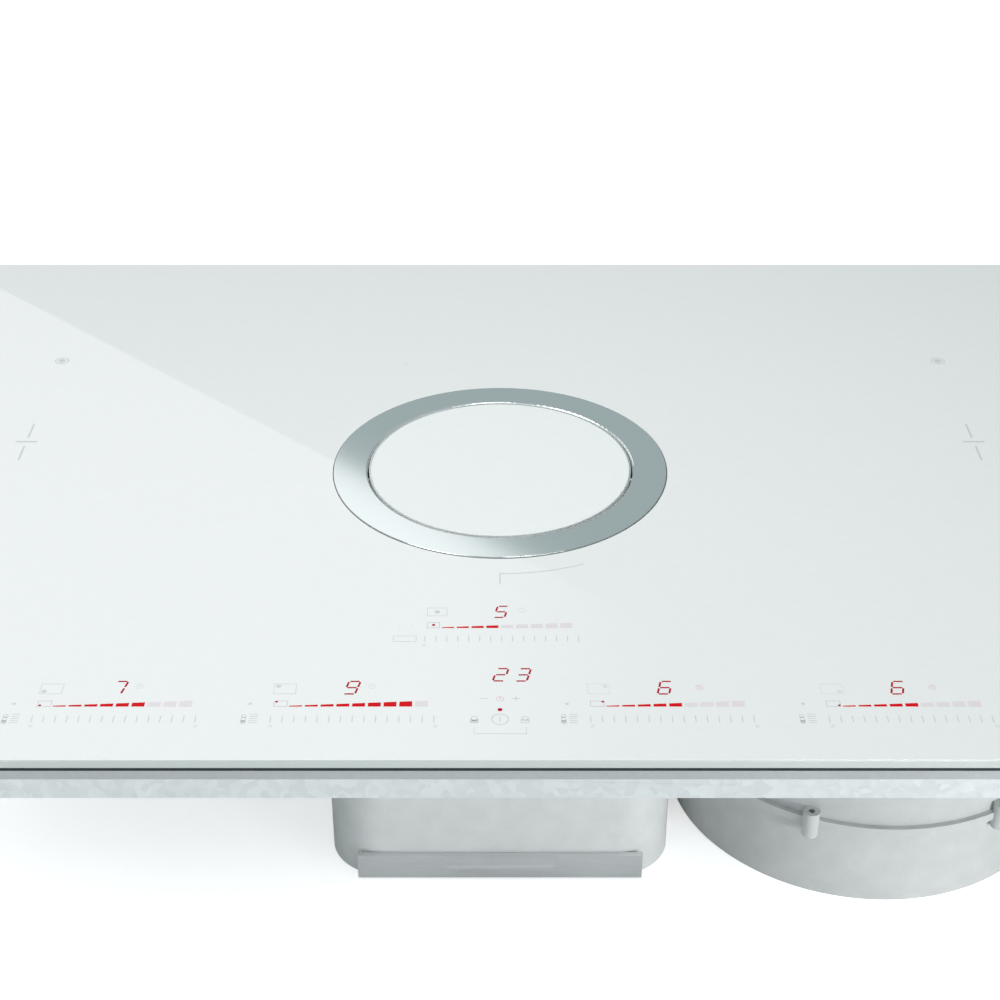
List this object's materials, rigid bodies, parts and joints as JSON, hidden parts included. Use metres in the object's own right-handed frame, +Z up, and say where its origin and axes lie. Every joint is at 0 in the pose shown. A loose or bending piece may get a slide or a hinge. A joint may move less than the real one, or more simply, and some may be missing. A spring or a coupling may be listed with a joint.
{
  "type": "downdraft induction cooktop",
  "caption": "Glass induction cooktop with touch sliders, a round tilting extraction flap in a metal ring, a lift-out grease filter and a blower with a flat duct outlet below.",
  "frame": {"origin": "on the base plane that the unit stands on, under the centre of the glass; the worktop plane is 204 mm above it", "axes": "+X to the user's right, +Y towards the wall behind the cooktop, +Z up"},
  "size_m": [0.83, 0.515, 0.2096],
  "materials": {
    "white_glass": "polished",
    "lid_glass": "polished",
    "ring_metal": "polished",
    "rim_metal": "polished",
    "black_foam": "matt",
    "grey_foam": "matt",
    "galvanised_sheet": "satin",
    "frame_steel": "satin",
    "zinc_fasteners": "satin",
    "spring_steel": "satin",
    "turned_steel": "satin",
    "filter_steel": "satin",
    "black_plastic": "matt",
    "grey_plastic": "matt",
    "light_plastic": "matt",
    "white_plastic": "satin",
    "bush_plastic": "satin",
    "gear_plastic": "satin",
    "seal_rubber": "matt",
    "cast_aluminium": "satin",
    "tray_aluminium": "satin",
    "sink_aluminium": "satin",
    "copper_litz": "satin",
    "ferrite": "matt",
    "mica": "matt",
    "circuit_board": "satin",
    "board_parts": "satin",
    "display_body": "satin"
  },
  "bodies": {
    "housing": {"glass_top": "white_glass", "worktop_gasket": "black_foam", "glass_frame": "frame_steel", "lower_casing": "galvanised_sheet", "casing_screws": "zinc_fasteners", "clamp_springs": "spring_steel", "inlet_collar": "black_plastic", "collar_seal": "seal_rubber", "shaft_bush": "bush_plastic", "flap_motor": "black_plastic", "motor_bracket": "galvanised_sheet", "inlet_duct": "black_plastic", "duct_seal": "seal_rubber", "air_box": "light_plastic", "air_box_seal": "grey_foam", "air_box_screws": "zinc_fasteners", "scroll_housing": "light_plastic", "inlet_cone": "grey_plastic", "fan_stator": "copper_litz", "motor_bearings": "turned_steel", "motor_base": "cast_aluminium", "motor_grommets": "seal_rubber", "blower_hangers": "galvanised_sheet", "outlet_spigot": "light_plastic", "coil_windings": "copper_litz", "coil_carriers": "white_plastic", "mica_sheets": "mica", "ferrite_bars": "ferrite", "temperature_sensors": "ferrite", "coil_trays": "tray_aluminium", "tray_posts": "turned_steel", "power_boards": "circuit_board", "heat_sinks": "sink_aluminium", "board_components": "board_parts", "fan_frames": "black_plastic", "ui_board": "circuit_board", "ui_displays": "display_body", "ui_carrier": "white_plastic", "terminal_block": "white_plastic", "terminal_cover": "grey_plastic", "cable_gland": "black_plastic", "hood_control_box": "grey_plastic"},
    "ring_unit": {"bezel_ring": "ring_metal", "pivot_bushes": "bush_plastic"},
    "flap": {"flap_glass": "lid_glass", "flap_rim": "rim_metal", "flap_carrier": "black_plastic", "flap_pivot_pins": "turned_steel"},
    "flap_drive": {"drive_shaft": "turned_steel", "quadrant_gear": "gear_plastic"},
    "pinion": {"motor_pinion": "turned_steel"},
    "grease_filter": {"filter_frame": "filter_steel", "filter_mesh": "filter_steel", "filter_handle": "filter_steel"},
    "tray": {"spill_tray": "grey_plastic"},
    "blower_rotor": {"impeller": "black_plastic", "rotor_cup": "frame_steel", "motor_shaft": "turned_steel"},
    "left_fan": {"fan_rotor_left": "black_plastic"},
    "right_fan": {"fan_rotor_right": "black_plastic"}
  },
  "joints": [
    {"name": "ring_lift", "type": "slide", "parent": "housing", "child": "ring_unit", "axis": [0, 0, 1], "range_m": [0, 0.27]},
    {"name": "flap_tilt", "type": "hinge", "parent": "ring_unit", "child": "flap", "pos_m": [0, -0.009, 0.1996], "axis": [1, 0, 0], "range_deg": [0, 40]},
    {"name": "drive_turn", "type": "hinge", "parent": "housing", "child": "flap_drive", "pos_m": [-0.097, -0.009, 0.1996], "axis": [1, 0, 0], "range_deg": [0, 40]},
    {"name": "pinion_turn", "type": "hinge", "parent": "housing", "child": "pinion", "pos_m": [-0.097, -0.009, 0.1646], "axis": [1, 0, 0], "range_deg": [-160, 0]},
    {"name": "filter_lift", "type": "slide", "parent": "housing", "child": "grease_filter", "axis": [0, 0, 1], "range_m": [0, 0.135]},
    {"name": "tray_pull", "type": "slide", "parent": "housing", "child": "tray", "axis": [0, -1, 0], "range_m": [0, 0.145]},
    {"name": "impeller_spin", "type": "hinge", "parent": "housing", "child": "blower_rotor", "pos_m": [0.205, -0.009, 0.05], "axis": [0, 0, 1], "continuous": true},
    {"name": "left_fan_spin", "type": "hinge", "parent": "housing", "child": "left_fan", "pos_m": [-0.264, -0.09, 0.155], "axis": [0, 0, 1], "continuous": true},
    {"name": "right_fan_spin", "type": "hinge", "parent": "housing", "child": "right_fan", "pos_m": [0.264, -0.09, 0.155], "axis": [0, 0, 1], "continuous": true}
  ],
  "couplings": [
    {"joint": "drive_turn", "follows": "flap_tilt", "ratio": 1},
    {"joint": "pinion_turn", "follows": "flap_tilt", "ratio": -4},
    {"joint": "filter_lift", "follows": "ring_lift", "ratio": 0.5}
  ]
}
